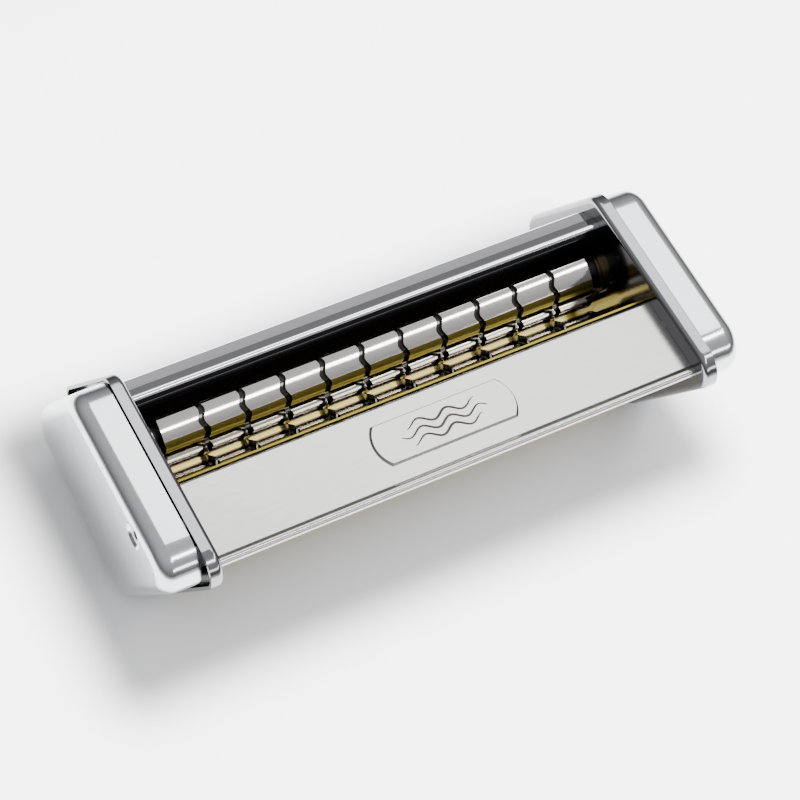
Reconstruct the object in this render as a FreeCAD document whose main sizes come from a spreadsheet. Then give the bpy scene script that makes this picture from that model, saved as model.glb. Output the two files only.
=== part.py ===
"""Ribbon-cutting roller attachment for a hand-cranked pasta machine, lying on its back.

X runs along the two rollers, +Y from the front panel to the machine side, +Z out of the hopper.
The origin is on the surface the attachment rests on, in the middle of its outline. Millimetres.
"""
import FreeCAD, Part
import math
import os
import Sketcher

V = FreeCAD.Vector
ALONG_X = FreeCAD.Rotation(V(0, 0, 1), V(1, 0, 0))

# name, value (mm, a count or degrees), what it is
SIZES = [
    ("case_height", 54, "back edges of the side plates to their front rims"),
    ("front_length", 70.5, "front rim of a side plate, corner to corner"),
    ("slant_run", 29, "shift of the back edge from the front edge, along Y"),
    ("rear_corner_reach", 45.2, "rear corner of a side plate, along Y"),
    ("rear_corner_height", 12.5, "rear corner of a side plate, above the rest surface"),
    ("hook_width", 5, "slot that hooks on to the machine, along Y"),
    ("hook_height", 9, "slot that hooks on to the machine"),
    ("foot_reach", 36, "rear end of the edge a side plate rests on, along Y"),
    ("hopper_width", 150, "between the inner faces of the side plates"),
    ("plate_sheet", 1, "side plate steel"),
    ("rim_width", 4.1, "side plate rim, along X"),
    ("plate_corner", 7, "corner radius of a side plate"),
    ("rim_bend", 1.6, "bend between plate and rim"),
    ("cap_gap", 0.5, "shadow gap between rim and end cap"),
    ("cap_depth", 11.4, "end cap, along X"),
    ("cap_sheet", 0.8, "end cap steel"),
    ("cap_corner", 9, "corner radius of an end cap"),
    ("cap_edge", 4.5, "edge radius round the end face"),
    ("panel_sheet", 0.8, "front panel and rear guard steel"),
    ("strip_sheet", 0.6, "brass guide and combs"),
    ("feed_angle", 26.5, "feed direction from the vertical, degrees"),
    ("nip_forward", 1.45, "middle of the nip, along Y"),
    ("nip_height", 25.5, "middle of the nip, above the rest surface"),
    ("gear_module", 1.25, "gear module"),
    ("gear_teeth", 18, "teeth on each gear"),
    ("gear_face", 6, "gear face width"),
    ("gear_backlash", 0.12, "play between teeth at the pitch circle"),
    ("barrel_radius", 10.7, "roller barrel"),
    ("ribbon_pitch", 12.5, "width of one ribbon"),
    ("ribbon_count", 11, "ribbons cut side by side"),
    ("groove_width", 1.9, "wavy groove"),
    ("groove_depth", 1.3, "wavy groove"),
    ("blade_width", 0.5, "wavy cutting ring"),
    ("blade_reach", 0.4, "how far a cutting ring enters the opposite groove"),
    ("wave_count", 11, "waves round a roller"),
    ("wave_height", 0.55, "wave amplitude, along X"),
    ("shaft_radius", 4, "roller shafts"),
    ("shaft_play", 0.04, "radial clearance of a shaft in its bushes"),
    ("bush_radius", 6, "body of a roller bush"),
    ("bush_flange", 8, "flange radius of a roller bush"),
    ("spacer_radius", 6.6, "spacer between barrel and bush"),
    ("hub_radius", 7, "gear hub"),
    ("pin_radius", 1, "cross pins of gears and crank socket"),
    ("rod_radius", 2.5, "tie rods"),
    ("thread_radius", 2, "M4 ends of tie rods, cap screws"),
    ("nut_width", 7, "M4 nuts across flats"),
    ("post_radius", 3.5, "posts that the end caps screw to"),
    ("socket_radius", 6.5, "outside of the crank socket"),
    ("crank_bore", 3.5, "bore radius of the crank socket"),
    ("crank_bore_depth", 6.4, "depth of the crank bore"),
    ("crank_hole", 7.4, "radius of the hole in the right cap"),
]

doc = FreeCAD.newDocument("ribbon_cutter")
sheet = doc.addObject("Spreadsheet::Sheet", "Sizes")
for row, (alias, value, note) in enumerate(SIZES, start=1):
    sheet.set(f"A{row}", alias)
    sheet.set(f"B{row}", str(value))
    sheet.set(f"C{row}", note)
    sheet.setAlias(f"B{row}", alias)
doc.recompute()


def bound(text):
    """Sheet expression from one written with bare size names."""
    words = [w if w not in names else "Sizes." + w for w in text.split(" ")]
    return " ".join(words)


names = {alias for alias, _, _ in SIZES}


def size(text):
    return float(sheet.evalExpression(bound(text)))


# ------------------------------------------------------------------ positions
feed = math.radians(size("feed_angle"))
FEED = V(0, math.sin(feed), -math.cos(feed))       # the way the pasta goes
ACROSS = V(0, math.cos(feed), math.sin(feed))      # from the front roller to the rear one
NIP = V(0, size("nip_forward"), size("nip_height"))
CENTRES = size("gear_module * gear_teeth")
FRONT_AXIS = NIP - ACROSS * (CENTRES / 2)
REAR_AXIS = NIP + ACROSS * (CENTRES / 2)
INNER = size("hopper_width / 2")                   # inner face of a side plate
OUTER = size("hopper_width / 2 + plate_sheet")
CAP_START = size("hopper_width / 2 + rim_width + cap_gap")
CAP_END = size("hopper_width / 2 + rim_width + cap_gap + cap_depth")
BARREL_END = size("ribbon_pitch * ribbon_count / 2")
TIE_RODS = [V(0, -31, 39.5), V(0, 28, 14), V(0, -19, 8)]
CAP_SCREW = V(0, -22.75, 46)
HOOK_START = 22                                    # front side of the hook slot, along Y
FLANGE_INSIDE = INNER - 1.1                        # hopper side of a bush flange
BUSH_END = OUTER + 1.6
WASHER_INSIDE = FLANGE_INSIDE - 0.8
GEAR_START = BUSH_END + 0.8
HUB_END = GEAR_START + size("gear_face") + 3.6
SHAFT_END = HUB_END + 0.4
CLIP_START = BUSH_END + 0.8
CLIP_WIDTH = 1.0
SOCKET_START = CLIP_START + CLIP_WIDTH + 0.6
SOCKET_END = CAP_END - 0.4
SOCKET_FLOOR = SOCKET_END - size("crank_bore_depth")
PLATE_CORNERS = [("- ( front_length + slant_run ) / 2", "case_height"),
                 ("( front_length - slant_run ) / 2", "case_height"),
                 ("rear_corner_reach", "rear_corner_height"),
                 ("foot_reach", "0"),
                 ("- ( front_length - slant_run ) / 2", "0")]


def at_axis(axis, x):
    return V(x, axis.y, axis.z)


# --------------------------------------------------- parametric building blocks
def cylinder(name, radius, length, base):
    """Cylinder that starts at base and runs towards +X."""
    obj = doc.addObject("Part::Cylinder", name)
    obj.setExpression("Radius", bound(radius))
    obj.Height = length
    obj.Placement = FreeCAD.Placement(base, ALONG_X)
    return obj


def prism(name, width, length, base):
    """Hexagonal prism along +X, sized across flats."""
    obj = doc.addObject("Part::Prism", name)
    obj.Polygon = 6
    obj.setExpression("Circumradius", bound(width + " / 1.7320508"))
    obj.Height = length
    obj.Placement = FreeCAD.Placement(base, ALONG_X)
    return obj


def cut(name, base, tool):
    obj = doc.addObject("Part::Cut", name)
    obj.Base, obj.Tool = base, tool
    return obj


def fuse(name, parts):
    obj = doc.addObject("Part::MultiFuse", name)
    obj.Shapes = parts
    return obj


def group(name, parts):
    obj = doc.addObject("Part::Compound", name)
    obj.Links = parts
    return obj


def tube(name, outer, inner, x0, x1, axis):
    length = x1 - x0
    body = cylinder(name + "_outer", outer, length, at_axis(axis, x0))
    bore = cylinder(name + "_bore", inner, length + 2, at_axis(axis, x0 - 1))
    return cut(name, body, bore)


def raw(name, shape):
    obj = doc.addObject("Part::Feature", name)
    obj.Shape = shape
    return obj


nodes = []


def node(obj, label):
    obj.Label = label
    nodes.append(obj)
    return obj


# --------------------------------------------------------------- pressed trays
def origin_plane(body):
    return [f for f in body.Origin.OriginFeatures if f.Role == "YZ_Plane"][0]


def outline_sketch(body, name, corners, x):
    """Closed polygon in the plane at X; each corner is a pair of size expressions."""
    sketch = body.newObject("Sketcher::SketchObject", name)
    sketch.AttachmentSupport = [(origin_plane(body), "")]
    sketch.MapMode = "FlatFace"
    sketch.AttachmentOffset = FreeCAD.Placement(V(0, 0, x), FreeCAD.Rotation())
    points = [V(size(y), size(z), 0) for y, z in corners]
    count = len(points)
    for i in range(count):
        sketch.addGeometry(Part.LineSegment(points[i], points[(i + 1) % count]))
    for i in range(count):
        sketch.addConstraint(Sketcher.Constraint("Coincident", i, 2, (i + 1) % count, 1))
    for i, (y, z) in enumerate(corners):
        for kind, text, value in (("DistanceX", y, points[i].x), ("DistanceY", z, points[i].y)):
            index = sketch.addConstraint(Sketcher.Constraint(kind, -1, 1, i, 1, value))
            sketch.setExpression(f"Constraints[{index}]", bound(text))
    return sketch


def face_at(shape, x):
    """Name of the largest flat face that lies at this X."""
    found = [(face.Area, "Face%d" % (i + 1)) for i, face in enumerate(shape.Faces)
             if abs(face.CenterOfMass.x - x) < 1e-3 and abs(face.normalAt(0, 0).x) > 0.999]
    return max(found)[1]


def polygon_inset(corners, distance):
    """Corner points of the polygon with every side moved inwards."""
    points = [V(size(y), size(z), 0) for y, z in corners]
    middle = sum(points, V()) * (1 / len(points))
    moved = []
    for i, point in enumerate(points):
        before, after = points[i - 1], points[(i + 1) % len(points)]
        arrive, leave = (point - before).normalize(), (after - point).normalize()
        inwards = V(-arrive.y, arrive.x, 0)
        if inwards.dot(middle - point) < 0:
            inwards = inwards * -1
        half = arrive.getAngle(leave) / 2
        bisector = (leave - arrive).normalize()
        moved.append(point + bisector * (distance / math.cos(half)))
    return moved


def fillet_edges(body, name, base, edges, radius):
    fillet = body.newObject("PartDesign::Fillet", name)
    fillet.Base = (base, edges)
    fillet.setExpression("Radius", bound(radius))
    doc.recompute()
    return fillet


def edges_along_x(shape):
    return ["Edge%d" % (i + 1) for i, edge in enumerate(shape.Edges)
            if edge.BoundBox.YLength + edge.BoundBox.ZLength < 1e-3]


def rounded_sketch(body, name, points, radius, x):
    """Closed outline with the same radius at every corner, in the plane at X."""
    sketch = body.newObject("Sketcher::SketchObject", name)
    sketch.AttachmentSupport = [(origin_plane(body), "")]
    sketch.MapMode = "FlatFace"
    sketch.AttachmentOffset = FreeCAD.Placement(V(0, 0, x), FreeCAD.Rotation())
    bends = []
    for i, here in enumerate(points):
        back = (points[i - 1] - here).normalize()
        ahead = (points[(i + 1) % len(points)] - here).normalize()
        half = back.getAngle(ahead) / 2
        reach = radius / math.tan(half)
        middle = here + (back + ahead).normalize() * (radius / math.sin(half) - radius)
        bends.append((here + back * reach, middle, here + ahead * reach))
    for i, (start, middle, end) in enumerate(bends):
        sketch.addGeometry(Part.LineSegment(bends[i - 1][2], start))
        sketch.addGeometry(Part.Arc(start, middle, end))
    for i in range(2 * len(bends)):
        sketch.addConstraint(Sketcher.Constraint("Block", i))
    return sketch


def pressed_tray(name, corners, start, length, side, closed_first, corner, edge, steel):
    """Deep-drawn tray along X: rounded corners, one closed face, the other face open."""
    end = start + size(length)
    closed, opened = (start, end) if closed_first else (end, start)
    away = 1 if closed_first else -1                # from the closed face to the open one
    form = doc.addObject("PartDesign::Body", name + "_form")
    pad = form.newObject("PartDesign::Pad", name + "_pad")
    pad.Profile = outline_sketch(form, name + "_outline", corners, side * start)
    pad.setExpression("Length", bound(length))
    pad.Reversed = side < 0
    doc.recompute()
    rounded = fillet_edges(form, name + "_corners", pad, edges_along_x(pad.Shape), corner)
    fillet_edges(form, name + "_edge", rounded, [face_at(rounded.Shape, side * closed)], edge)
    punch = doc.addObject("PartDesign::Body", name + "_punch")
    floor = closed + away * size(steel)
    punched = punch.newObject("PartDesign::Pad", name + "_punch_pad")
    punched.Profile = rounded_sketch(punch, name + "_inside", polygon_inset(corners, size(steel)),
                                     size(corner + " - " + steel), side * floor)
    punched.setExpression("Length", bound(length + " - " + steel + " + 1"))
    punched.Reversed = side * away < 0
    doc.recompute()
    fillet_edges(punch, name + "_inner_edge", punched, [face_at(punched.Shape, side * floor)],
                 edge + " - " + steel)
    return cut(name + "_pressed", form, punch)


def drill(name, radius, centre, side, near, far):
    """Cylinder across the sheet between two distances from the middle."""
    low, high = sorted((side * near, side * far))
    return cylinder(name, radius, high - low, at_axis(centre, low))


def side_plate(name, side):
    """Tray open outwards, with holes for bushes, rods and post and a slot that hooks on."""
    tray = pressed_tray(name, PLATE_CORNERS, INNER, "rim_width", side, True,
                        "plate_corner", "rim_bend", "plate_sheet")
    near, far = INNER - 1, OUTER + 1
    tools = [drill(f"{name}_bush{i}", "bush_radius + 0.02", axis, side, near, far)
             for i, axis in enumerate((FRONT_AXIS, REAR_AXIS))]
    tools += [drill(f"{name}_rod{i}", "thread_radius + 0.02", rod, side, near, far)
              for i, rod in enumerate(TIE_RODS)]
    tools.append(drill(f"{name}_post", "thread_radius + 0.02", CAP_SCREW, side, near, far))
    slot = doc.addObject("Part::Box", name + "_hook_slot")
    slot.Length = 8
    slot.setExpression("Width", bound("hook_width"))
    slot.setExpression("Height", bound("hook_height + 1"))
    slot.Placement.Base = V(min(side * near, side * (near + 8)), HOOK_START, -1)
    return node(cut(name, tray, fuse(name + "_tools", tools + [slot])), name)


CAP_CORNERS = [("- ( front_length + slant_run ) / 2 + 2.6", "case_height - 0.6"),
               ("( front_length - slant_run ) / 2 - 1.2", "case_height - 0.6"),
               ("rear_corner_reach - 1.6", "9.5"),
               ("- ( front_length - slant_run ) / 2 + 2.2", "1.4")]


def end_cap(name, side):
    """Deep-drawn cap with a countersunk hole for its screw; the right one lets the crank in."""
    tray = pressed_tray(name, CAP_CORNERS, CAP_START, "cap_depth", side, False,
                        "cap_corner", "cap_edge", "cap_sheet")
    boss = drill(name + "_boss", "post_radius + 1.5", CAP_SCREW, side, CAP_END - 2.4, CAP_END - 0.4)
    sink = doc.addObject("Part::Cone", name + "_countersink")
    sink.setExpression("Radius1", bound("thread_radius + 0.15"))
    sink.setExpression("Radius2", bound("thread_radius + 2.15"))
    sink.Height = 2
    turn = ALONG_X if side > 0 else FreeCAD.Rotation(V(0, 0, 1), V(-1, 0, 0))
    sink.Placement = FreeCAD.Placement(at_axis(CAP_SCREW, side * (CAP_END - 1.9)), turn)
    tools = [drill(name + "_hole", "thread_radius + 0.15", CAP_SCREW, side, CAP_END - 4,
                   CAP_END + 1), sink]
    if side > 0:
        tools.append(drill(name + "_crank_hole", "crank_hole", FRONT_AXIS, side, CAP_END - 4,
                           CAP_END + 1))
    return node(cut(name, fuse(name + "_bossed", [tray, boss]), fuse(name + "_tools", tools)), name)


# ------------------------------------------------------------ bent sheet strips
def bent_path(points, bends):
    """Wire through the points (y, z) with a tangent arc of the given radius at each bend."""
    corners = [V(0, y, z) for y, z in points]
    edges = []
    last = corners[0]
    for i, radius in enumerate(bends, start=1):
        here = corners[i]
        back = (corners[i - 1] - here).normalize()
        ahead = (corners[i + 1] - here).normalize()
        half = back.getAngle(ahead) / 2
        reach = radius / math.tan(half)
        middle = here + (back + ahead).normalize() * (radius / math.sin(half) - radius)
        start, end = here + back * reach, here + ahead * reach
        edges.append(Part.LineSegment(last, start).toShape())
        edges.append(Part.Arc(start, middle, end).toShape())
        last = end
    edges.append(Part.LineSegment(last, corners[-1]).toShape())
    return Part.Wire(edges)


def strip(points, bends, steel, half_length):
    """Sheet of even thickness that follows the path, from side plate to side plate."""
    section = bent_path(points, bends).makeOffset2D(steel, 0, True, True)
    face = section if section.ShapeType == "Face" else section.Faces[0]
    face.translate(V(-half_length, 0, 0))
    return face.extrude(V(2 * half_length, 0, 0))


PANEL_TOP = 47.5
PANEL_PATH = [(-26.2, 19.5), (-41.0, 47.0), (-39.6, 48.6), (-37.9, PANEL_TOP),
              (-14.0, PANEL_TOP), (-12.9, 40.5)]
PANEL_BENDS = [1.3, 1.2, 0.9, 1.0]
PLAQUE_CENTRE = V(1.2, -25.95, PANEL_TOP)
PLAQUE_HALF_LENGTH = 19.2
PLAQUE_HALF_WIDTH = 6.2
PLAQUE_BULGE = 2.4
PLAQUE_RISE = 0.7


def plaque_outline(grow):
    """Long straight edges with ends that bow outwards."""
    x, y = PLAQUE_HALF_LENGTH + grow, PLAQUE_HALF_WIDTH + grow
    c = PLAQUE_CENTRE
    right = Part.Arc(c + V(x, -y, 0), c + V(x + PLAQUE_BULGE, 0, 0), c + V(x, y, 0))
    left = Part.Arc(c + V(-x, y, 0), c + V(-x - PLAQUE_BULGE, 0, 0), c + V(-x, -y, 0))
    top = Part.LineSegment(c + V(x, y, 0), c + V(-x, y, 0))
    bottom = Part.LineSegment(c + V(-x, -y, 0), c + V(x, -y, 0))
    return Part.Wire([right.toShape(), top.toShape(), left.toShape(), bottom.toShape()])


def front_panel():
    sheet_metal = strip(PANEL_PATH, PANEL_BENDS, size("panel_sheet"), INNER - 0.05)
    base = plaque_outline(0.7)
    crown = plaque_outline(0)
    crown.translate(V(0, 0, PLAQUE_RISE))
    base.translate(V(0, 0, -0.2))
    plaque = Part.makeLoft([base, crown], True, True)
    return node(raw("FrontPanel", sheet_metal.fuse(plaque).removeSplitter()), "front_panel")


GUARD_PATH = [(9.62, 42.03), (12.6, 47.0), (14.5, 48.9), (17.9, 47.2), (22.9, 44.1), (38.6, 14.0)]
GUARD_BENDS = [1.4, 1.3, 0.9, 1.5]


def rear_guard():
    sheet_metal = strip(GUARD_PATH, GUARD_BENDS, size("panel_sheet"), INNER - 0.05)
    return node(raw("RearGuard", sheet_metal), "rear_guard")


def from_nip(along, across):
    """(y, z) of a point this far past the nip and this far towards the rear roller."""
    point = NIP + FEED * along + ACROSS * across
    return (point.y, point.z)


GUIDE_PATH = [(-12.0, 45.6), (-11.3, 36.2), (-7.8, 34.0)]
REAR_COMB_PATH = [from_nip(6, 2.0), from_nip(20, -4), (24, 9.6), (28, 10.7)]
FRONT_COMB_PATH = [from_nip(6.5, -2.1), from_nip(14, -6.3), (-15, 4.6), (-21, 4.9)]


def comb_slots():
    """Room for the cutting rings to turn through the front comb."""
    sweep = CENTRES - size("barrel_radius") + size("blade_reach") + 0.5
    wide = 2 * (size("wave_height") + size("blade_width / 2")) + 1.2
    return [Part.makeCylinder(sweep, wide, at_axis(FRONT_AXIS, x - wide / 2), V(1, 0, 0))
            for x in ring_places()]


def brass_strips():
    steel = size("strip_sheet")
    reach = INNER - 0.05
    node(raw("HopperGuide", strip(GUIDE_PATH, [1.6], steel, reach)), "hopper_guide")
    node(raw("RearComb", strip(REAR_COMB_PATH, [0.8, 3.0], steel, reach)), "rear_comb")
    comb = strip(FRONT_COMB_PATH, [2.0, 3.0], -steel, reach).cut(comb_slots())
    node(raw("FrontComb", comb), "front_comb")


# -------------------------------------------------------------------- fasteners
def tie_rods():
    rods = []
    for i, rod in enumerate(TIE_RODS):
        body = cylinder(f"Rod{i}", "rod_radius", 2 * INNER, at_axis(rod, -INNER))
        thread = cylinder(f"RodThread{i}", "thread_radius", 2 * (OUTER + 4),
                          at_axis(rod, -OUTER - 4))
        rods.append(fuse(f"TieRod{i}", [body, thread]))
    node(group("TieRods", rods), "tie_rods")
    nuts = []
    for i, rod in enumerate(TIE_RODS):
        for side in (-1, 1):
            x = OUTER if side > 0 else -OUTER - 3
            body = prism(f"NutBody{i}{side > 0}", "nut_width", 3, at_axis(rod, x))
            hole = cylinder(f"NutBore{i}{side > 0}", "thread_radius + 0.02", 5,
                            at_axis(rod, x - 1))
            nuts.append(cut(f"Nut{i}{side > 0}", body, hole))
    node(group("TieRodNuts", nuts), "tie_rod_nuts")


def cap_fixings():
    """Posts riveted to the side plates, and the countersunk screws that hold the caps."""
    posts, screws = [], []
    post_end = CAP_END - 2.4
    for side in (-1, 1):
        tag = "Right" if side > 0 else "Left"
        x0 = OUTER if side > 0 else -post_end
        body = cylinder(f"Post{tag}Body", "post_radius", post_end - OUTER, at_axis(CAP_SCREW, x0))
        spigot = cylinder(f"Post{tag}Spigot", "thread_radius", 3,
                          at_axis(CAP_SCREW, OUTER - 1 if side > 0 else -OUTER - 2))
        hole = cylinder(f"Post{tag}Hole", "thread_radius - 0.33", 9,
                        at_axis(CAP_SCREW, post_end - 8 if side > 0 else -post_end - 1))
        posts.append(cut(f"Post{tag}", fuse(f"Post{tag}Turned", [body, spigot]), hole))
        head_face = CAP_END - 0.7
        under_head = head_face - 1.15
        shank_end = post_end - 6
        head = Part.makeCone(1.95, 3.0, head_face - under_head,
                             at_axis(CAP_SCREW, side * under_head), V(side, 0, 0))
        shank = Part.makeCylinder(1.64, under_head - shank_end + 0.2,
                                  at_axis(CAP_SCREW, side * shank_end), V(side, 0, 0))
        recess = Part.makeCylinder(1.3, 1.4, at_axis(CAP_SCREW, side * (head_face - 1.2)),
                                   V(side, 0, 0))
        screws.append(raw(f"CapScrew{tag}", head.fuse(shank).cut(recess)))
    node(group("CapPosts", posts), "cap_posts")
    node(group("CapScrews", screws), "cap_screws")


def bushes():
    rings, washers = [], []
    for i, axis in enumerate((FRONT_AXIS, REAR_AXIS)):
        for side in (-1, 1):
            tag = f"{i}{'R' if side > 0 else 'L'}"
            lo, hi = (FLANGE_INSIDE, BUSH_END) if side > 0 else (-BUSH_END, -FLANGE_INSIDE)
            f_lo, f_hi = (FLANGE_INSIDE, INNER) if side > 0 else (-INNER, -FLANGE_INSIDE)
            body = cylinder(f"BushBody{tag}", "bush_radius", hi - lo, at_axis(axis, lo))
            flange = cylinder(f"BushFlange{tag}", "bush_flange", f_hi - f_lo, at_axis(axis, f_lo))
            bore = cylinder(f"BushBore{tag}", "shaft_radius + shaft_play", hi - lo + 2,
                            at_axis(axis, lo - 1))
            rings.append(cut(f"Bush{tag}", fuse(f"BushSolid{tag}", [body, flange]), bore))
            w_lo, w_hi = sorted((side * WASHER_INSIDE, side * FLANGE_INSIDE))
            washers.append(tube(f"Washer{tag}", "spacer_radius + 0.6",
                                "shaft_radius + shaft_play", w_lo, w_hi, axis))
    node(group("RollerBushes", rings), "roller_bushes")
    node(group("ThrustWashers", washers), "thrust_washers")


# ---------------------------------------------------------------------- rollers
def wavy_ring(x, inner, outer, half_width, phase):
    """Ring about the X axis whose two side faces wave together along X."""
    waves, height, stations = int(size("wave_count")), size("wave_height"), 12
    count = waves * stations

    def side_curve(offset, radius):
        points = []
        for i in range(count):
            turn = 2 * math.pi * i / count
            shift = height * math.sin(waves * turn + phase)
            points.append(V(x + offset + shift, radius * math.cos(turn), radius * math.sin(turn)))
        curve = Part.BSplineCurve()
        curve.interpolate(points, PeriodicFlag=True)
        return curve.toShape()

    corners = [side_curve(offset, radius) for offset, radius in
               ((-half_width, inner), (-half_width, outer), (half_width, outer),
                (half_width, inner))]
    faces = [Part.makeRuledSurface(corners[i], corners[(i + 1) % 4]) for i in range(4)]
    ring = Part.Solid(Part.Shell(faces))
    if ring.Volume < 0:
        ring.reverse()
    return ring


waves = size("wave_count")
# The two waves mirror each other where the rollers meet, at every angle of the crank.
FRONT_PHASE = math.pi / 2 - waves * feed
REAR_PHASE = math.pi / 2 - waves * (feed + math.pi)


def ring_places():
    count = int(size("ribbon_count"))
    return [-BARREL_END + size("ribbon_pitch") * i for i in range(1, count)]


def grooved_roller(name, label, axis, phase, right_end):
    """Shaft and barrel turned from one bar, with wavy grooves and a circlip groove."""
    radius = size("barrel_radius")
    floor = radius - size("groove_depth")
    barrel = Part.makeCylinder(radius, 2 * BARREL_END, V(-BARREL_END, 0, 0), V(1, 0, 0))
    grooves = [wavy_ring(x, floor, radius + 1, size("groove_width") / 2, phase)
               for x in ring_places()]
    barrel = barrel.cut(grooves)
    shaft = Part.makeCylinder(size("shaft_radius"), right_end + SHAFT_END,
                              V(-SHAFT_END, 0, 0), V(1, 0, 0))
    clip_floor = size("shaft_radius") - 0.5
    clip = Part.makeCylinder(size("shaft_radius") + 1, CLIP_WIDTH + 0.04,
                             V(CLIP_START - 0.02, 0, 0), V(1, 0, 0))
    clip = clip.cut(Part.makeCylinder(clip_floor, CLIP_WIDTH + 2, V(CLIP_START - 1, 0, 0),
                                      V(1, 0, 0)))
    solid = barrel.fuse(shaft).cut(clip)
    for x in pin_places(right_end):
        solid = solid.cut(cross_pin(x, 6, 0.01))
    obj = raw(name, solid)
    obj.Placement = FreeCAD.Placement(axis, FreeCAD.Rotation())
    return node(obj, label)


def cross_pin(x, half_length, grow):
    return Part.makeCylinder(size("pin_radius") + grow, 2 * half_length,
                             V(x, 0, -half_length), V(0, 0, 1))


GEAR_PIN_X = -(HUB_END - 1.8)
SOCKET_PIN_X = SOCKET_START + 2


def pin_places(right_end):
    return [GEAR_PIN_X] if right_end < SOCKET_START else [GEAR_PIN_X, SOCKET_PIN_X]


def cutting_rings(axis):
    radius = size("barrel_radius")
    floor = radius - size("groove_depth")
    tip = CENTRES - radius + size("blade_reach")
    rings = []
    for i, x in enumerate(ring_places()):
        ring = raw(f"CuttingRing{i}",
                   wavy_ring(x, floor + 0.02, tip, size("blade_width") / 2, FRONT_PHASE))
        ring.Placement = FreeCAD.Placement(axis, FreeCAD.Rotation())
        rings.append(ring)
    return node(group("CuttingRings", rings), "cutting_rings")


def gear_outline(turn):
    """Involute gear profile about the X axis, turned by an angle; tooth 0 starts at +Y."""
    teeth = int(size("gear_teeth"))
    pitch_radius = size("gear_module * gear_teeth / 2")
    tip, root = pitch_radius + size("gear_module"), pitch_radius - 1.25 * size("gear_module")
    pressure = math.radians(20)
    base = pitch_radius * math.cos(pressure)
    half_tooth = math.pi / (2 * teeth) - size("gear_backlash") / (4 * pitch_radius)
    at_pitch = math.tan(pressure) - pressure
    start = max(base, root + 0.05)

    def flank_angle(radius):
        slope = math.acos(min(1, base / radius))
        return half_tooth + at_pitch - (math.tan(slope) - slope)

    def point(radius, angle):
        return V(0, radius * math.cos(angle), radius * math.sin(angle))

    radii = [start + (tip - start) * i / 4 for i in range(5)]
    edges = []
    for tooth in range(teeth):
        middle = turn + 2 * math.pi * tooth / teeth
        up = [point(r, middle - flank_angle(r)) for r in radii]
        down = [point(r, middle + flank_angle(r)) for r in reversed(radii)]
        foot_in = point(root, middle - flank_angle(start))
        foot_out = point(root, middle + flank_angle(start))
        next_foot = point(root, middle + 2 * math.pi / teeth - flank_angle(start))
        valley = point(root, middle + math.pi / teeth)
        for flank in (up, down):
            curve = Part.BSplineCurve()
            curve.interpolate(flank)
            flank.append(curve.toShape())
        crest = Part.Arc(up[4], point(tip, middle), down[0]).toShape()
        edges += [Part.LineSegment(foot_in, up[0]).toShape(), up[-1], crest, down[-1],
                  Part.LineSegment(down[4], foot_out).toShape(),
                  Part.Arc(foot_out, valley, next_foot).toShape()]
    return Part.Wire(edges)


def roller_gear(name, label, axis, turn):
    face = Part.Face(gear_outline(turn))
    face.translate(V(-GEAR_START, 0, 0))
    solid = face.extrude(V(-size("gear_face"), 0, 0))
    hub = Part.makeCylinder(size("hub_radius"), HUB_END - GEAR_START - size("gear_face"),
                            V(-HUB_END, 0, 0), V(1, 0, 0))
    bore = Part.makeCylinder(size("shaft_radius") + 0.01, HUB_END, V(-HUB_END - 1, 0, 0),
                             V(1, 0, 0))
    solid = solid.fuse(hub).cut(bore).cut(cross_pin(GEAR_PIN_X, 9, 0.01))
    obj = raw(name, solid)
    obj.Placement = FreeCAD.Placement(axis, FreeCAD.Rotation())
    return node(obj, label)


def roller_trim(prefix, label, axis):
    """Spacers at both ends of a barrel, the circlip on the right and the gear's cross pin."""
    spacers = []
    for side in (-1, 1):
        lo, hi = sorted((side * (BARREL_END + 0.02), side * (WASHER_INSIDE - 0.1)))
        spacers.append(tube(f"{prefix}Spacer{side > 0}", "spacer_radius", "shaft_radius + 0.01",
                            lo, hi, axis))
    node(group(prefix + "Spacers", spacers), label + "_spacers")
    node(tube(prefix + "Circlip", "shaft_radius + 1.6", "shaft_radius - 0.48", CLIP_START,
              CLIP_START + CLIP_WIDTH, axis), label + "_circlip")
    pin = raw(prefix + "GearPin", cross_pin(GEAR_PIN_X, size("hub_radius") - 0.2, 0))
    pin.Placement = FreeCAD.Placement(axis, FreeCAD.Rotation())
    node(pin, label + "_gear_pin")


def crank_socket(axis):
    """Sleeve pinned to the front shaft; the crank pushes in and its cross bar fits the slot."""
    length = SOCKET_END - SOCKET_START
    solid = Part.makeCylinder(size("socket_radius"), length, V(SOCKET_START, 0, 0), V(1, 0, 0))
    solid = solid.cut(Part.makeCylinder(size("shaft_radius") + 0.01, SOCKET_FLOOR - SOCKET_START,
                                        V(SOCKET_START, 0, 0), V(1, 0, 0)))
    solid = solid.cut(Part.makeCylinder(size("crank_bore"), length, V(SOCKET_START + 1, 0, 0),
                                        V(1, 0, 0)))
    slot = Part.makeBox(2.8, 2 * size("socket_radius") + 2, 2.2,
                        V(SOCKET_END - 2.6, -size("socket_radius") - 1, -1.1))
    solid = solid.cut(slot).cut(cross_pin(SOCKET_PIN_X, 9, 0.01))
    obj = raw("CrankSocketTurned", solid)
    obj.Placement = FreeCAD.Placement(axis, FreeCAD.Rotation())
    node(obj, "crank_socket")
    pin = raw("SocketPinCut", cross_pin(SOCKET_PIN_X, size("socket_radius") - 0.2, 0))
    pin.Placement = FreeCAD.Placement(axis, FreeCAD.Rotation())
    node(pin, "crank_socket_pin")


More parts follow.
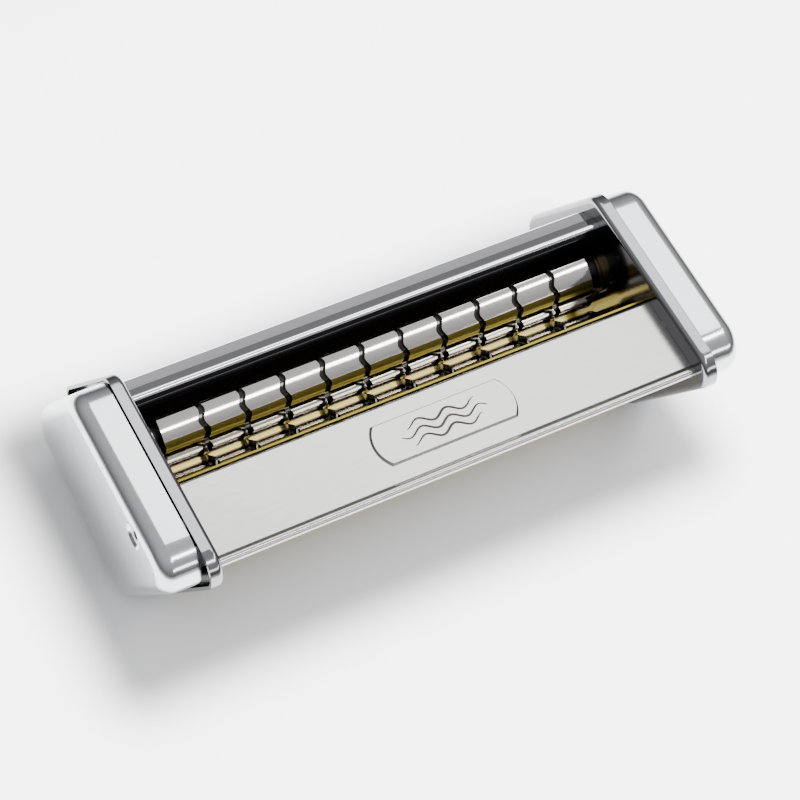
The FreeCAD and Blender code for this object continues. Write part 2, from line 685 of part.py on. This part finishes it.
def build():
    for side, tag in ((-1, "left"), (1, "right")):
        side_plate(tag + "_side_plate", side)
        end_cap(tag + "_end_cap", side)
    front_panel()
    rear_guard()
    brass_strips()
    tie_rods()
    cap_fixings()
    bushes()
    grooved_roller("FrontRoller", "front_cutting_roller", FRONT_AXIS, FRONT_PHASE,
                   SOCKET_FLOOR - 0.1)
    grooved_roller("RearRoller", "rear_cutting_roller", REAR_AXIS, REAR_PHASE,
                   CLIP_START + CLIP_WIDTH + 0.6)
    cutting_rings(FRONT_AXIS)
    # A tooth of the front gear points at the nip and meets a gap of the rear gear.
    half_pitch = math.pi / size("gear_teeth")
    roller_gear("FrontGear", "front_gear", FRONT_AXIS, feed)
    roller_gear("RearGear", "rear_gear", REAR_AXIS, feed + math.pi + half_pitch)
    roller_trim("Front", "front", FRONT_AXIS)
    roller_trim("Rear", "rear", REAR_AXIS)
    crank_socket(FRONT_AXIS)


def check_and_export():
    doc.recompute()
    for obj in doc.Objects:
        if "Invalid" in obj.State or "Error" in obj.State:
            raise RuntimeError(obj.Name + " failed to build")
    os.makedirs("parts", exist_ok=True)
    for obj in nodes:
        if obj.Shape.isNull() or not obj.Shape.isValid():
            raise RuntimeError(obj.Label + " has no valid shape")
        obj.Shape.exportStep(os.path.join("parts", obj.Label + ".step"))
        box = obj.Shape.BoundBox
        print(f"{obj.Label:22s} solids {len(obj.Shape.Solids):2d} volume {obj.Shape.Volume:9.1f}"
              f"  x {box.XMin:6.1f} {box.XMax:6.1f}  y {box.YMin:6.1f} {box.YMax:6.1f}"
              f"  z {box.ZMin:6.1f} {box.ZMax:6.1f}")


build()
check_and_export()
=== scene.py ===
"""Looks of the ribbon-cutting roller attachment: metal finishes, the badge's ornament, the stage."""

import math

import bmesh
import bpy
from bpy.props import FloatProperty, FloatVectorProperty, PointerProperty, StringProperty
from bpy.types import Operator, Panel, PropertyGroup
from mathutils import Matrix, Vector


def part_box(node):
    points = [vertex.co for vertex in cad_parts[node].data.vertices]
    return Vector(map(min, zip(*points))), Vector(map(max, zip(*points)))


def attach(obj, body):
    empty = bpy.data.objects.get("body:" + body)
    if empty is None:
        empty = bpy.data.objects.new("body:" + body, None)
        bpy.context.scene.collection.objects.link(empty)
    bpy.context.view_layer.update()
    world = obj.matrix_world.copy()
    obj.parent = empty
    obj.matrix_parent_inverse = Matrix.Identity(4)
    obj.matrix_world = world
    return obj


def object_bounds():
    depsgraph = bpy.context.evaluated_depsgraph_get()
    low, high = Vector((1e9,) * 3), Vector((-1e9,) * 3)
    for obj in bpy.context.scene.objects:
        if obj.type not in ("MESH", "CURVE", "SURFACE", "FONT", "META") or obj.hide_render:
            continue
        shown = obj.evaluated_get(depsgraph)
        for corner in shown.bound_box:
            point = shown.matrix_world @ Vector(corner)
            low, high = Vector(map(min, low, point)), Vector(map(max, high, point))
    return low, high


bl_info = {
    "name": "Ribbon Cutter Finish",
    "version": (1, 0, 0),
    "blender": (4, 5, 0),
    "location": "3D View > Sidebar > Ribbon Cutter",
    "description": "Finishes the ribbon-cutting roller attachment and sets up its studio",
    "category": "Object",
}

MM = 0.001

# the badge's ornament, in mm
BADGE_CENTRE = (1.2, -25.95, 48.2)                 # middle of the plaque's flat face
ORNAMENT_HALF = 13.5                               # half the length of the middle ribbon
ORNAMENT_SHORTEN = 0.82                            # outer ribbons against the middle one
ORNAMENT_ROWS = 2.7                                # from one ribbon to the next
WAVES = 3.0                                        # whole waves along the middle ribbon
WAVE_HEIGHT = 1.1                                  # amplitude
RIBBON_HALF = 0.44                                 # half the width, before the ends taper
RIBBON_RISE = 0.12                                 # above the plaque
RIBBON_SINK = 0.1                                  # into the plaque
RIBBON_STEPS = 160

# the floor's painted glow, and the painted shadow round the object, by distance from the object's
# outline, in metres
GLOW_START, GLOW_FULL = 0.002, 0.026
GLOW_FADES, GLOW_ENDS = 0.12, 0.30
GLOW_SHIFT = (0.006, 0.002)                        # the outline is moved this far to the left and front
GLOW_INSET = (0.004, 0.006)                        # and made this much smaller on each side
AIM = (0, 0, 0.03)                                 # what the lamps point at

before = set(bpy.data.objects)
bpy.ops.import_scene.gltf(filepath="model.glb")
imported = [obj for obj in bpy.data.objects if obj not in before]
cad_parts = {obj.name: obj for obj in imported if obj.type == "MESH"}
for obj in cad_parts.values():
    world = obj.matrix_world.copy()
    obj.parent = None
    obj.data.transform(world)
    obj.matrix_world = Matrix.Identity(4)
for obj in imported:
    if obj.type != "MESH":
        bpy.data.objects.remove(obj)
cad_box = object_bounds()


# ------------------------------------------------------------------- helpers
def linear(hex_colour):
    """sRGB hex such as 'C8C8C6' to linear RGBA."""
    channels = [int(hex_colour[i:i + 2], 16) / 255 for i in (0, 2, 4)]
    return [c / 12.92 if c <= 0.04045 else ((c + 0.055) / 1.055) ** 2.4 for c in channels] + [1.0]


def add(tree, kind, links=(), **settings):
    """A node with its settings; links are (own input, node, output) triples."""
    new = tree.nodes.new(kind)
    for key, value in settings.items():
        if key.startswith("in_"):
            name = key[3:].replace("_", " ")
            new.inputs[int(name) if name.isdigit() else name].default_value = value
        else:
            setattr(new, key, value)
    for own, source, output in links:
        tree.links.new(source.outputs[output], new.inputs[own])
    return new


def blank(name):
    """A new material, its node tree and its Principled shader."""
    made = bpy.data.materials.new(name)
    made.use_nodes = True
    return made, made.node_tree, made.node_tree.nodes["Principled BSDF"]


def brightness_spread(tree, texture, output, low, high):
    """Turns a texture's 0 to 1 into a range of gloss."""
    return add(tree, "ShaderNodeMapRange", [("Value", texture, output)],
               in_To_Min=low, in_To_Max=high)


def dress(material, *nodes):
    """Gives CAD nodes their finish."""
    for name in nodes:
        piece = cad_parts[name]
        piece.data.materials.clear()
        piece.data.materials.append(material)


def props():
    return bpy.context.scene.ribbon_cutter


# ----------------------------------------------------------------- materials
def polished_sheet(name, colour, rough_low, rough_high, ripple):
    """Pressed sheet metal, polished or plated: reflections that swim a little where the press
    left the sheet uneven, and faint wiping marks that come and go in the gloss."""
    made, tree, shader = blank(name)
    shader.inputs["Metallic"].default_value = 1.0
    place = add(tree, "ShaderNodeTexCoord")
    # wiping marks about 0.6 to 1 mm wide and 6 mm long
    stretch = add(tree, "ShaderNodeMapping", [("Vector", place, "Object")],
                  in_Scale=(160, 1600, 900))
    wipes = add(tree, "ShaderNodeTexNoise", [("Vector", stretch, "Vector")],
                in_Scale=1.0, in_Detail=4.0, in_Roughness=0.6)
    gloss = brightness_spread(tree, wipes, "Fac", rough_low, rough_high)
    tree.links.new(gloss.outputs["Result"], shader.inputs["Roughness"])
    # press waviness: swells about 9 mm apart
    swell = add(tree, "ShaderNodeTexNoise", [("Vector", place, "Object")],
                in_Scale=110.0, in_Detail=1.0)
    bump = add(tree, "ShaderNodeBump", [("Height", swell, "Fac")],
               in_Strength=ripple, in_Distance=0.2 * MM)
    tree.links.new(bump.outputs["Normal"], shader.inputs["Normal"])
    tint = add(tree, "ShaderNodeValToRGB", [("Fac", swell, "Fac")])
    tint.color_ramp.elements[0].color = [c * 0.96 for c in linear(colour)[:3]] + [1.0]
    tint.color_ramp.elements[1].color = linear(colour)
    tree.links.new(tint.outputs["Color"], shader.inputs["Base Color"])
    return made


def turned_metal(name, colour, rough, line_mm, depth):
    """Metal turned or ground on a lathe: fine rings round the X axis that break up the
    highlight where it crosses them."""
    made, tree, shader = blank(name)
    shader.inputs["Metallic"].default_value = 1.0
    place = add(tree, "ShaderNodeTexCoord")
    stretch = add(tree, "ShaderNodeMapping", [("Vector", place, "Object")],
                  in_Scale=(1.0 / (line_mm * MM), 6.0, 6.0))
    rings = add(tree, "ShaderNodeTexNoise", [("Vector", stretch, "Vector")],
                in_Scale=1.0, in_Detail=3.0, in_Roughness=0.7)
    gloss = brightness_spread(tree, rings, "Fac", rough * 0.8, rough * 1.3)
    tree.links.new(gloss.outputs["Result"], shader.inputs["Roughness"])
    bump = add(tree, "ShaderNodeBump", [("Height", rings, "Fac")],
               in_Strength=depth, in_Distance=0.02 * MM)
    tree.links.new(bump.outputs["Normal"], shader.inputs["Normal"])
    blotch = add(tree, "ShaderNodeTexNoise", [("Vector", place, "Object")],
                 in_Scale=140.0, in_Detail=3.0)
    tint = add(tree, "ShaderNodeValToRGB", [("Fac", blotch, "Fac")])
    tint.color_ramp.elements[0].color = [c * 0.88 for c in linear(colour)[:3]] + [1.0]
    tint.color_ramp.elements[1].color = linear(colour)
    tree.links.new(tint.outputs["Color"], shader.inputs["Base Color"])
    return made


def painted_groove_shade_mask(tree, axis, floor_radius):
    """1 at the floor of the grooves round a shaft's axis (y, z), 0 just under the barrel's surface; it
    carries the painted shade in the grooves.
    """
    place = add(tree, "ShaderNodeTexCoord")
    flat = add(tree, "ShaderNodeVectorMath", [(0, place, "Object")], operation="MULTIPLY")
    flat.inputs[1].default_value = (0, 1, 1)
    away = add(tree, "ShaderNodeVectorMath", [(0, flat, "Vector")], operation="DISTANCE")
    away.inputs[1].default_value = (0, axis[0], axis[1])
    return add(tree, "ShaderNodeMapRange", [("Value", away, "Value")],
               in_From_Min=floor_radius - 0.1 * MM, in_From_Max=floor_radius + 1.15 * MM,
               in_To_Min=1.0, in_To_Max=0.0)


def mix_into_colour(tree, mask, output, hex_colour):
    """Lays another colour over the base colour where the mask is 1."""
    shader = tree.nodes["Principled BSDF"]
    under = shader.inputs["Base Color"].links[0]
    mix = add(tree, "ShaderNodeMix", [("Factor", mask, output)], data_type="RGBA")
    sockets = [i for i in mix.inputs if i.type == "RGBA"]
    result = [o for o in mix.outputs if o.type == "RGBA"][0]
    tree.links.new(under.from_socket, sockets[0])
    sockets[1].default_value = linear(hex_colour)
    tree.links.new(result, shader.inputs["Base Color"])


def painted_lip_reflection_mask(tree, place):
    """1 within the lip's reach of the guard's hopper edge along Y, 0 beyond it: where the dark
    reflection on the lip is painted.
    """
    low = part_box("rear_guard")[0]
    axes = add(tree, "ShaderNodeSeparateXYZ", [("Vector", place, "Object")])
    reach = props().painted_lip_reach * MM
    near = add(tree, "ShaderNodeMath", [(0, axes, "Y")], operation="LESS_THAN")
    near.inputs[1].default_value = low[1] + reach
    return near


class RIBBONCUTTER_settings(PropertyGroup):
    """Colours and places that the steps share"""
    plated: StringProperty(name="Rear guard", description="Colour of the guard's plating",
                           default="E2E2E3")
    brass: StringProperty(name="Combs", description="Colour of the two brass combs",
                          default="D6C660")
    camera_place: FloatVectorProperty(name="Camera", description="Where the camera stands",
                                      default=(-0.2517, -0.3055, 0.6364), unit="LENGTH")
    azimuth: FloatProperty(name="Azimuth", description="Camera direction, from the front to the left",
                           default=math.radians(40.12), subtype="ANGLE")
    elevation: FloatProperty(name="Elevation", description="Camera height above the horizon",
                             default=math.radians(57.15), subtype="ANGLE")
    roll: FloatProperty(name="Roll", description="Turn of the camera about its axis",
                        default=math.radians(13.99), subtype="ANGLE")
    lens: FloatProperty(name="Lens", description="Focal length on a 36 mm sensor",
                        default=114.86)
    # the depth along Y of the dark reflection painted on the guard's lip
    painted_lip_reach: FloatProperty(name="Lip", description="Depth of the guard's dark lip along Y, mm",
                             default=4.0)
    groove_depth: FloatProperty(name="Groove", description="Depth of the wavy grooves, mm",
                                default=1.3)
    # strength of the glow painted on the floor
    floor_glow: FloatProperty(name="Floor glow", description="Strength of the floor's glow",
                              default=4.8)


class RIBBONCUTTER_OT_plates(Operator):
    """Polishes and plates the two side plates"""
    bl_idname = "ribboncutter.plates"
    bl_label = "Side plates"

    def execute(self, context):
        dress(polished_sheet("nickel_plated_side_plate", "88888B", 0.10, 0.18, 0.10),
              "left_side_plate", "right_side_plate")
        return {"FINISHED"}


class RIBBONCUTTER_OT_caps(Operator):
    """Plates the two deep-drawn end caps"""
    bl_idname = "ribboncutter.caps"
    bl_label = "End caps"

    def execute(self, context):
        dress(polished_sheet("chromed_drawn_cap", "C9CBCE", 0.10, 0.20, 0.22),
              "left_end_cap", "right_end_cap")
        return {"FINISHED"}


class RIBBONCUTTER_OT_panel(Operator):
    """Gives the front panel its satin plated face"""
    bl_idname = "ribboncutter.panel"
    bl_label = "Front panel"

    def execute(self, context):
        dress(polished_sheet("satin_chromed_panel", "B0AFAD", 0.20, 0.28, 0.05),
              "front_panel")
        return {"FINISHED"}


class RIBBONCUTTER_OT_guard(Operator):
    """Plates the rear guard and paints a dark reflection on the lip inside the hopper"""
    bl_idname = "ribboncutter.guard"
    bl_label = "Rear guard"

    def execute(self, context):
        made = polished_sheet("chromed_guard_painted_lip_reflection", props().plated, 0.03, 0.08, 0.06)
        tree = made.node_tree
        place = add(tree, "ShaderNodeTexCoord")
        # painted reflection: the lip inside the hopper is darkened to near black by its place along Y
        mix_into_colour(tree, painted_lip_reflection_mask(tree, place), "Value", "2A2A2C")
        dress(made, "rear_guard")
        return {"FINISHED"}


class RIBBONCUTTER_OT_brass(Operator):
    """Finishes the rolled brass guide and combs"""
    bl_idname = "ribboncutter.brass"
    bl_label = "Brass strips"

    def execute(self, context):
        dress(polished_sheet("rolled_brass", props().brass, 0.18, 0.30, 0.08),
              "rear_comb", "front_comb")
        dress(polished_sheet("tarnished_brass", "857A38", 0.25, 0.35, 0.08), "hopper_guide")
        return {"FINISHED"}


class RIBBONCUTTER_OT_rollers(Operator):
    """Finishes the grooved rollers, with painted shade in their grooves, their cutting rings and
    spacers
    """
    bl_idname = "ribboncutter.rollers"
    bl_label = "Rollers"

    def execute(self, context):
        for name in ("front_cutting_roller", "rear_cutting_roller"):
            low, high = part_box(name)
            axis = ((low[1] + high[1]) / 2, (low[2] + high[2]) / 2)
            radius = (high[2] - low[2]) / 2
            made = turned_metal("ground_chromed_" + name, "DEDAD4", 0.09, 0.25, 0.18)
            mask = painted_groove_shade_mask(made.node_tree, axis, radius - props().groove_depth * MM)
            # painted shade: the grooves are darkened to near black from their floor to just under the
            # barrel's surface
            mix_into_colour(made.node_tree, mask, "Result", "17140F")
            dress(made, name)
        dress(turned_metal("hardened_cutting_ring", "8A8782", 0.25, 0.2, 0.2), "cutting_rings")
        dress(turned_metal("blackened_spacer", "3A3A3C", 0.35, 0.3, 0.3),
              "front_spacers", "rear_spacers")
        return {"FINISHED"}


class RIBBONCUTTER_OT_drive(Operator):
    """Finishes gears, bushes, crank socket and their small parts"""
    bl_idname = "ribboncutter.drive"
    bl_label = "Drive parts"

    def execute(self, context):
        dress(turned_metal("oiled_gear_steel", "7C7B78", 0.3, 0.3, 0.3),
              "front_gear", "rear_gear", "front_circlip", "rear_circlip")
        dress(turned_metal("turned_bronze", "77694E", 0.3, 0.25, 0.3),
              "roller_bushes", "thrust_washers")
        dress(turned_metal("zinc_plated_steel", "B9BBBE", 0.28, 0.3, 0.3),
              "crank_socket", "crank_socket_pin", "front_gear_pin", "rear_gear_pin", "tie_rods",
              "tie_rod_nuts", "cap_posts", "cap_screws")
        return {"FINISHED"}


class RIBBONCUTTER_OT_ornament(Operator):
    """Lays three low wavy ribbons on the badge of the front panel"""
    bl_idname = "ribboncutter.ornament"
    bl_label = "Badge ornament"

    def execute(self, context):
        centre = Vector(BADGE_CENTRE) * MM
        lift, sink = Vector((0, 0, RIBBON_RISE * MM)), Vector((0, 0, -RIBBON_SINK * MM))
        mesh = bpy.data.meshes.new("badge_ornament")
        bm = bmesh.new()
        for row in (-1, 0, 1):
            shorten = ORNAMENT_SHORTEN if row else 1.0
            sections = []
            for i in range(RIBBON_STEPS + 1):
                t = i / RIBBON_STEPS * 2 - 1
                turn = t * shorten * WAVES * math.pi
                taper = max(0.06, math.cos(t * math.pi / 2)) ** 0.4
                slope = math.cos(turn) * WAVE_HEIGHT * WAVES * math.pi / ORNAMENT_HALF
                across = Vector((-slope, 1, 0)).normalized() * RIBBON_HALF * MM * taper
                mid = centre + Vector((t * ORNAMENT_HALF * shorten,
                                       row * ORNAMENT_ROWS + WAVE_HEIGHT * math.sin(turn), 0)) * MM
                sections.append([bm.verts.new(p) for p in
                                 (mid - across + sink, mid - across * 0.7 + lift * 0.8,
                                  mid + lift, mid + across * 0.7 + lift * 0.8,
                                  mid + across + sink)])
            for a, b in zip(sections, sections[1:]):
                for k in range(5):
                    n = (k + 1) % 5
                    bm.faces.new((a[k], b[k], b[n], a[n]))
            bm.faces.new(sections[0])
            bm.faces.new(list(reversed(sections[-1])))
        bmesh.ops.recalc_face_normals(bm, faces=bm.faces)
        for face in bm.faces:
            face.smooth = True
        bm.to_mesh(mesh)
        bm.free()
        piece = bpy.data.objects.new("badge_ornament", mesh)
        context.scene.collection.objects.link(piece)
        mesh.materials.append(turned_metal("dark_metal_inlay", "4A4745", 0.35, 0.4, 0.1))
        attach(piece, "case")
        return {"FINISHED"}


def area_light(name, place, aim, width, height, power):
    data = bpy.data.lights.new(name, "AREA")
    data.shape = "RECTANGLE"
    data.size, data.size_y = width, height
    data.energy = power
    lamp = bpy.data.objects.new(name, data)
    lamp.location = place
    lamp.rotation_euler = (Vector(aim) - Vector(place)).to_track_quat("-Z", "Y").to_euler()
    bpy.context.scene.collection.objects.link(lamp)


class RIBBONCUTTER_OT_stage(Operator):
    """Sets up the pale floor, the soft light and the camera"""
    bl_idname = "ribboncutter.stage"
    bl_label = "Stage"

    def execute(self, context):
        scene = context.scene
        settings = props()
        # a big sheet of white acrylic; the glow and the shadow round the object are painted into it
        mesh = bpy.data.meshes.new("floor")
        half = 3.0
        mesh.from_pydata([(-half, -half, 0), (half, -half, 0), (half, half, 0), (-half, half, 0)],
                         [], [(0, 1, 2, 3)])
        floor = bpy.data.objects.new("floor", mesh)
        floor.location.z = cad_box[0][2] - 0.0002
        scene.collection.objects.link(floor)
        made, tree, shader = blank("floor_painted_glow_and_shadow")
        place = add(tree, "ShaderNodeTexCoord")
        grain = add(tree, "ShaderNodeTexNoise", [("Vector", place, "Object")],
                    in_Scale=40.0, in_Detail=2.0)
        tint = add(tree, "ShaderNodeValToRGB", [("Fac", grain, "Fac")])
        tint.color_ramp.elements[0].color = linear("F4F4F5")
        tint.color_ramp.elements[1].color = linear("F7F7F8")
        tree.links.new(tint.outputs["Color"], shader.inputs["Base Color"])
        shader.inputs["Roughness"].default_value = 0.35
        # painted light and painted shadow: a glow painted by distance, none beside the object, full a
        # little way off, none far away
        moved = add(tree, "ShaderNodeVectorMath", [(0, place, "Object")], operation="ADD")
        moved.inputs[1].default_value = (*GLOW_SHIFT, 0)
        flat = add(tree, "ShaderNodeVectorMath", [(0, moved, "Vector")], operation="ABSOLUTE")
        outside = add(tree, "ShaderNodeVectorMath", [(0, flat, "Vector")], operation="SUBTRACT")
        outside.inputs[1].default_value = (cad_box[1][0] - GLOW_INSET[0],
                                           cad_box[1][1] - GLOW_INSET[1], 0)
        clear = add(tree, "ShaderNodeVectorMath", [(0, outside, "Vector")], operation="MAXIMUM")
        clear.inputs[1].default_value = (0, 0, 0)
        away = add(tree, "ShaderNodeVectorMath", [(0, clear, "Vector")], operation="LENGTH")
        rise = add(tree, "ShaderNodeMapRange", [("Value", away, "Value")],
                   interpolation_type="SMOOTHSTEP", in_From_Min=GLOW_START, in_From_Max=GLOW_FULL,
                   in_To_Min=0.0, in_To_Max=settings.floor_glow)
        fall = add(tree, "ShaderNodeMapRange", [("Value", away, "Value")],
                   interpolation_type="SMOOTHSTEP", in_From_Min=GLOW_FADES, in_From_Max=GLOW_ENDS,
                   in_To_Min=1.0, in_To_Max=0.0)
        glow = add(tree, "ShaderNodeMath", [(0, rise, "Result"), (1, fall, "Result")],
                   operation="MULTIPLY")
        shader.inputs["Emission Color"].default_value = linear("FFFFFF")
        tree.links.new(glow.outputs["Value"], shader.inputs["Emission Strength"])
        mesh.materials.append(made)

        world = bpy.data.worlds.new("studio")
        world.use_nodes = True
        tree = world.node_tree
        background = tree.nodes["Background"]
        place = add(tree, "ShaderNodeTexCoord")
        axes = add(tree, "ShaderNodeSeparateXYZ", [("Vector", place, "Generated")])
        # gray near the horizon, bright overhead
        ramp = add(tree, "ShaderNodeMapRange", [("Value", axes, "Z")],
                   in_From_Min=0.05, in_From_Max=0.85, in_To_Min=0.18, in_To_Max=0.80)
        background.inputs["Color"].default_value = linear("FCFCFF")
        tree.links.new(ramp.outputs["Result"], background.inputs["Strength"])
        scene.world = world

        area_light("softbox", (0.36, 0.41, 0.88), AIM, 0.62, 0.40, 3.5)
        area_light("front_strip", (0.35, -0.90, 0.42), AIM, 0.9, 0.12, 2.6)
        area_light("key", (0.34, -0.32, 0.88), AIM, 0.95, 0.08, 4.5)
        # hidden beneath the object, to light the gap between the rollers from below
        area_light("floor_light", (0, 0.004, 0.0015), (0, 0.004, 0.1), 0.146, 0.014, 0.014)

        data = bpy.data.cameras.new("camera")
        data.sensor_width = 36.0
        data.lens = settings.lens
        data.clip_start = 0.01
        camera = bpy.data.objects.new("camera", data)
        a, e, r = settings.azimuth, settings.elevation, settings.roll
        back = Vector((-math.cos(e) * math.sin(a), -math.cos(e) * math.cos(a), math.sin(e)))
        level = Vector((math.cos(a), -math.sin(a), 0))
        up = back.cross(level)
        right = level * math.cos(r) + up * math.sin(r)
        up = back.cross(right)
        turn = Matrix((right, up, back)).transposed().to_4x4()
        camera.matrix_world = Matrix.Translation(Vector(settings.camera_place)) @ turn
        scene.collection.objects.link(camera)
        scene.camera = camera
        return {"FINISHED"}


STEPS = (RIBBONCUTTER_OT_plates, RIBBONCUTTER_OT_caps, RIBBONCUTTER_OT_panel,
         RIBBONCUTTER_OT_guard, RIBBONCUTTER_OT_brass, RIBBONCUTTER_OT_rollers,
         RIBBONCUTTER_OT_drive, RIBBONCUTTER_OT_ornament, RIBBONCUTTER_OT_stage)


class RIBBONCUTTER_PT_panel(Panel):
    """The steps and their settings in the sidebar"""
    bl_label = "Ribbon Cutter"
    bl_idname = "RIBBONCUTTER_PT_panel"
    bl_space_type = "VIEW_3D"
    bl_region_type = "UI"
    bl_category = "Ribbon Cutter"

    def draw(self, context):
        for step in STEPS:
            self.layout.operator(step.bl_idname)
        for name in RIBBONCUTTER_settings.__annotations__:
            self.layout.prop(context.scene.ribbon_cutter, name)


CLASSES = (RIBBONCUTTER_settings,) + STEPS + (RIBBONCUTTER_PT_panel,)


def register():
    for cls in CLASSES:
        bpy.utils.register_class(cls)
    bpy.types.Scene.ribbon_cutter = PointerProperty(type=RIBBONCUTTER_settings)


def unregister():
    del bpy.types.Scene.ribbon_cutter
    for cls in reversed(CLASSES):
        bpy.utils.unregister_class(cls)


def main():
    register()
    for step in STEPS:
        group, name = step.bl_idname.split(".")
        getattr(getattr(bpy.ops, group), name)()


if __name__ == "__main__":
    main()
